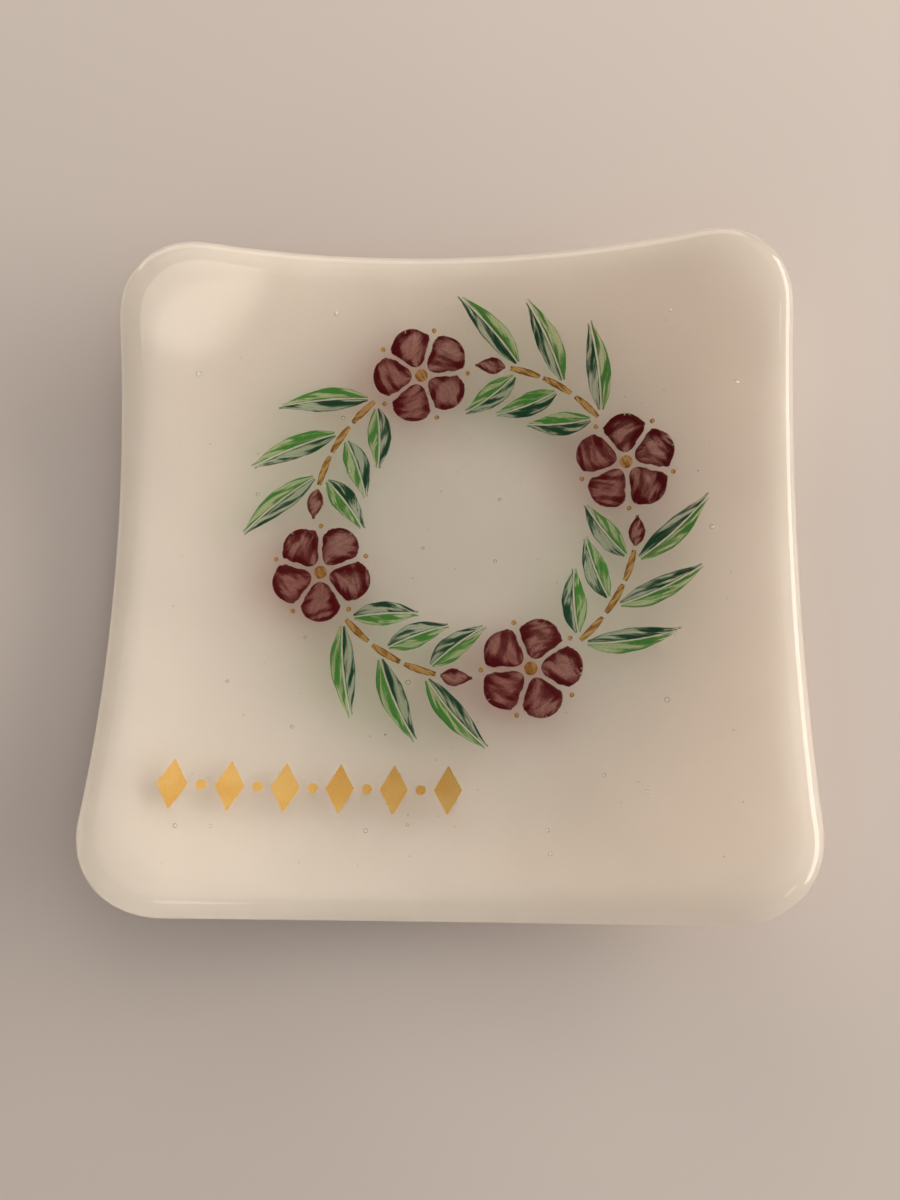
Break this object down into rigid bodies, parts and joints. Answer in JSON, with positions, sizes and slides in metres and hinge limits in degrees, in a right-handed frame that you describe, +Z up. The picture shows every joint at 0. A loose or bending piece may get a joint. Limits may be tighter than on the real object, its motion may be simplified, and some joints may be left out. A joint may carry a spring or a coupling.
{
  "type": "fused glass dish",
  "caption": "Small square slumped glass dish: clear sheet fused on opal white, with raised corners, a painted enamel wreath and a gold border.",
  "frame": {"origin": "centre of the flat foot, on the surface that the dish stands on", "axes": "+Z up out of the dish; +Y away from the gold border, towards the far edge; +X to the right of someone who faces the border"},
  "size_m": [0.1204, 0.1204, 0.0224],
  "materials": {
    "opal_glass": "gloss opal white glass",
    "clear_glass": "clear fire-polished glass",
    "crimson_enamel": "gloss translucent glass enamel",
    "amber_enamel": "gloss translucent glass enamel",
    "dark_green_enamel": "gloss translucent glass enamel",
    "light_green_enamel": "gloss translucent glass enamel",
    "gold_lustre": "bright fired gold lustre"
  },
  "bodies": {
    "root": {"base_glass": "opal_glass", "cap_glass": "clear_glass", "petals_1": "crimson_enamel", "petals_2": "crimson_enamel", "petals_3": "crimson_enamel", "petals_4": "crimson_enamel", "heart_1": "amber_enamel", "heart_2": "amber_enamel", "heart_3": "amber_enamel", "heart_4": "amber_enamel", "dark_leaves_1": "dark_green_enamel", "dark_leaves_2": "dark_green_enamel", "dark_leaves_3": "dark_green_enamel", "dark_leaves_4": "dark_green_enamel", "light_leaves_1": "light_green_enamel", "light_leaves_2": "light_green_enamel", "light_leaves_3": "light_green_enamel", "light_leaves_4": "light_green_enamel", "stem_1": "amber_enamel", "stem_2": "amber_enamel", "stem_3": "amber_enamel", "stem_4": "amber_enamel", "bud_1": "crimson_enamel", "bud_2": "crimson_enamel", "bud_3": "crimson_enamel", "bud_4": "crimson_enamel", "gold_lozenges": "gold_lustre", "gold_beads": "gold_lustre"}
  },
  "joints": []
}
